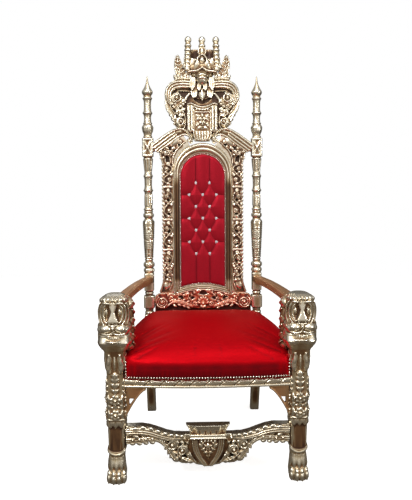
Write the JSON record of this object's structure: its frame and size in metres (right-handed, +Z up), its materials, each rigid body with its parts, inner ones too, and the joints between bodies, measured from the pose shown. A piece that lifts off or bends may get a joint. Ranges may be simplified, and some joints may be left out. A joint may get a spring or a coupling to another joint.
{
  "type": "throne chair",
  "caption": "Tall carved and gilded throne with lion-headed arms, paw feet, a stuffed red seat, a buttoned arched back and a crown on its crest.",
  "frame": {"origin": "on the floor, at the middle of the bounding box's base", "axes": "+Z up; the front faces -Y; +X is on the right of someone looking at the front"},
  "size_m": [0.811, 0.7635, 1.8],
  "materials": {
    "gilded_wood": "carved wood under pale silver-gold leaf with brown glaze in the hollows",
    "red_cloth": "smooth red satin-like cloth",
    "crystal": "faceted clear crystal",
    "plywood": "plain plywood"
  },
  "bodies": {
    "root": {"front_leg_left": "gilded_wood", "front_leg_right": "gilded_wood", "rear_post_left": "gilded_wood", "rear_post_right": "gilded_wood", "arm_left": "gilded_wood", "arm_right": "gilded_wood", "front_rail": "gilded_wood", "side_rail_left": "gilded_wood", "side_rail_right": "gilded_wood", "rear_rail": "gilded_wood", "knee_bracket_left": "gilded_wood", "knee_bracket_right": "gilded_wood", "front_stretcher": "gilded_wood", "back_frame": "gilded_wood", "side_scrollwork_left": "gilded_wood", "side_scrollwork_right": "gilded_wood", "lower_rail": "gilded_wood", "crest_rail": "gilded_wood", "seat_board": "plywood", "seat_cushion": "red_cloth", "back_pad": "red_cloth", "back_cover": "red_cloth", "back_button_01": "crystal", "back_button_02": "crystal", "back_button_03": "crystal", "back_button_04": "crystal", "back_button_05": "crystal", "back_button_06": "crystal", "back_button_07": "crystal", "back_button_08": "crystal", "back_button_09": "crystal", "back_button_10": "crystal", "back_button_11": "crystal", "back_button_12": "crystal", "back_button_13": "crystal", "back_button_14": "crystal", "back_button_15": "crystal", "back_button_16": "crystal", "back_button_17": "crystal"}
  },
  "joints": []
}
